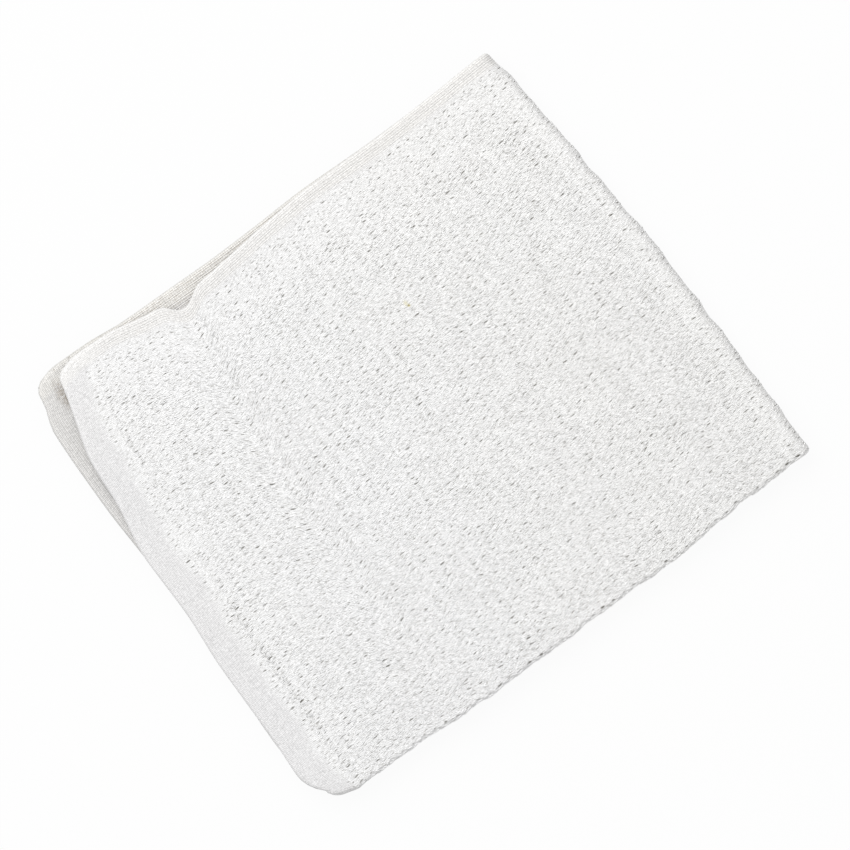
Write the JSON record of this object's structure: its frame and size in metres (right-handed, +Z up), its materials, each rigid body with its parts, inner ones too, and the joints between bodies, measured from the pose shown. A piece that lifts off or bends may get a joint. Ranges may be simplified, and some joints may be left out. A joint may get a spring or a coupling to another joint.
{
  "type": "bar towel",
  "caption": "White terry bar towel folded in half twice into a flat, slightly uneven stack, with its hems on one side and its selvedges on the next.",
  "frame": {"origin": "under the middle of the folded outline, on the plane that the cloth lies on", "axes": "+Z up, +X along the longer side from the hems to the second fold, +Y from the first fold to the selvedges"},
  "size_m": [0.2452, 0.2124, 0.0134],
  "materials": {
    "terry_cotton": "matt looped terry pile"
  },
  "bodies": {
    "root": {"towel": "terry_cotton"}
  },
  "joints": []
}
